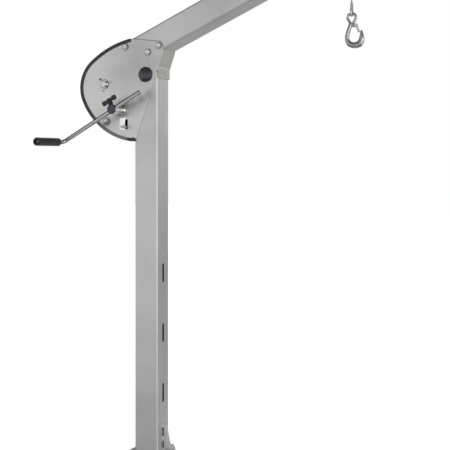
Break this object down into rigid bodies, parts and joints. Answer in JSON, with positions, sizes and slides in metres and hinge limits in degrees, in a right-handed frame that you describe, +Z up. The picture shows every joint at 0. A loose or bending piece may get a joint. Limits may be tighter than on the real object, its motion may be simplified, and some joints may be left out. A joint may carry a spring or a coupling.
{
  "type": "swivel davit",
  "caption": "Swivelling post davit with a fixed raised arm, an enclosed hand winch driven by a geared crank, and a wire rope over a tip sheave to a safety hook.",
  "frame": {"origin": "centre of the base plate's underside, on the swivel axis", "axes": "+Z up along the mast, +X along the arm towards the hook, the crank on the -Y side"},
  "size_m": [1.2004, 0.441, 2.1034],
  "materials": {
    "foot_steel": "brushed stainless steel",
    "tube_steel": "matt brushed stainless steel tube",
    "plate_steel": "matt stainless steel sheet",
    "bolt_steel": "bright stainless steel",
    "shaft_steel": "turned stainless steel",
    "gear_steel": "machined and lightly oiled steel",
    "drum_steel": "turned stainless steel",
    "bronze": "bearing bronze",
    "black_plastic": "black moulded plastic",
    "pad_lining": "brown friction lining",
    "washer_plastic": "off-white bearing plastic",
    "sheave_nylon": "dark cast nylon",
    "rope_steel": "stainless wire rope",
    "ferrule_metal": "pressed stainless steel",
    "hook_steel": "forged stainless steel, satin",
    "latch_steel": "bright bent sheet steel",
    "spring_steel": "spring wire",
    "pawl_steel": "polished steel",
    "crank_steel": "polished stainless bar",
    "hub_steel": "turned steel, polished",
    "grip_plastic": "black plastic grip",
    "knob_plastic": "black plastic wing knob"
  },
  "bodies": {
    "foot": {"base_plate": "foot_steel", "foot_tube": "foot_steel", "foot_flange": "foot_steel", "foot_gussets": "foot_steel", "pivot_post": "shaft_steel", "post_cap": "shaft_steel", "thrust_washer": "washer_plastic"},
    "mast": {"swivel_flange": "foot_steel", "keeper_ring": "foot_steel", "flange_bolts": "bolt_steel", "flange_nuts": "bolt_steel", "bearing_plates": "plate_steel", "bearing_bushes": "bronze", "mast_tube": "tube_steel", "mast_rib": "tube_steel", "crank_side_plate": "plate_steel", "far_side_plate": "plate_steel", "cover_band": "black_plastic", "nose_plate": "plate_steel", "tie_tube": "shaft_steel", "tie_plugs": "black_plastic", "head_bolts": "bolt_steel", "head_nuts": "bolt_steel", "head_sleeves": "bolt_steel", "arm_tube": "tube_steel", "arm_end_cap": "black_plastic", "sheave_axle": "bolt_steel", "sheave_spacers": "bolt_steel", "rope_run": "rope_steel", "hanging_rope": "rope_steel", "axle_bosses": "plate_steel", "boss_screws": "bolt_steel", "drum_axle": "bolt_steel", "crank_bushes": "bolt_steel", "pawl_stud": "bolt_steel", "pawl_spring": "spring_steel"},
    "tip_sheave": {"sheave": "sheave_nylon", "sheave_bush": "bronze"},
    "rope_end": {"rope_ferrule": "ferrule_metal", "rope_eye": "rope_steel", "thimble": "ferrule_metal"},
    "hook": {"hook": "hook_steel", "latch_pin": "bolt_steel"},
    "latch": {"latch": "latch_steel"},
    "drum": {"drum": "drum_steel", "drum_gear": "gear_steel", "drum_bushes": "bronze", "rope_coil": "rope_steel"},
    "crank": {"crank_shaft": "shaft_steel", "pinion": "gear_steel", "crank_hub": "hub_steel", "crank_end_screw": "bolt_steel"},
    "ratchet": {"ratchet_wheel": "gear_steel", "brake_pads": "pad_lining"},
    "pawl": {"pawl": "pawl_steel"},
    "crank_bar": {"crank_bar": "crank_steel", "grip_retainer": "bolt_steel"},
    "grip": {"crank_grip": "grip_plastic"},
    "wing_screw": {"wing_screw": "knob_plastic"}
  },
  "joints": [
    {"name": "mast_swivel", "type": "hinge", "parent": "foot", "child": "mast", "pos_m": [0, 0, 0.062], "axis": [0, 0, 1], "continuous": true},
    {"name": "crank_turn", "type": "hinge", "parent": "mast", "child": "crank", "pos_m": [-0.11, 0, 1.44], "axis": [0, 1, 0], "range_deg": [-5760, 360]},
    {"name": "drum_spin", "type": "hinge", "parent": "mast", "child": "drum", "pos_m": [-0.18342, 0, 1.54485], "axis": [0, 1, 0], "range_deg": [-120, 1920]},
    {"name": "sheave_spin", "type": "hinge", "parent": "mast", "child": "tip_sheave", "pos_m": [0.765, 0, 2.01927], "axis": [0, 1, 0], "range_deg": [-155, 2470]},
    {"name": "hook_hoist", "type": "slide", "parent": "mast", "child": "rope_end", "axis": [0, 0, 1], "range_m": [-1.508, 0.0943], "deforming": ["hanging_rope"]},
    {"name": "ratchet_spin", "type": "hinge", "parent": "mast", "child": "ratchet", "pos_m": [-0.11, 0, 1.44], "axis": [0, 1, 0], "continuous": true},
    {"name": "pawl_lift", "type": "hinge", "parent": "mast", "child": "pawl", "pos_m": [-0.125, 0, 1.386], "axis": [0, -1, 0], "range_deg": [0, 16], "stiffness_Nm_per_rad": 0.6, "springref_deg": -28.65, "deforming": ["pawl_spring"]},
    {"name": "bar_slide", "type": "slide", "parent": "crank", "child": "crank_bar", "axis": [0.8746, 0, 0.4848], "range_m": [-0.1, 0.2]},
    {"name": "grip_spin", "type": "hinge", "parent": "crank_bar", "child": "grip", "pos_m": [-0.33915, -0.2, 1.31298], "axis": [0, 1, 0], "continuous": true},
    {"name": "wing_turn", "type": "hinge", "parent": "crank", "child": "wing_screw", "pos_m": [-0.11, -0.111, 1.44], "axis": [-0.4848, 0, 0.8746], "range_deg": [0, 720]},
    {"name": "hook_swing", "type": "hinge", "parent": "rope_end", "child": "hook", "pos_m": [0.8, 0, 1.76772], "axis": [1, 0, 0], "range_deg": [-60, 60]},
    {"name": "latch_open", "type": "hinge", "parent": "hook", "child": "latch", "pos_m": [0.8155, 0, 1.72497], "axis": [0, 1, 0], "range_deg": [0, 38], "stiffness_Nm_per_rad": 0.03, "springref_deg": -28.65}
  ],
  "couplings": [
    {"joint": "drum_spin", "follows": "crank_turn", "ratio": -0.33333},
    {"joint": "sheave_spin", "follows": "crank_turn", "ratio": -0.42857},
    {"joint": "hook_hoist", "follows": "crank_turn", "m_per_rad": 0.015}
  ]
}
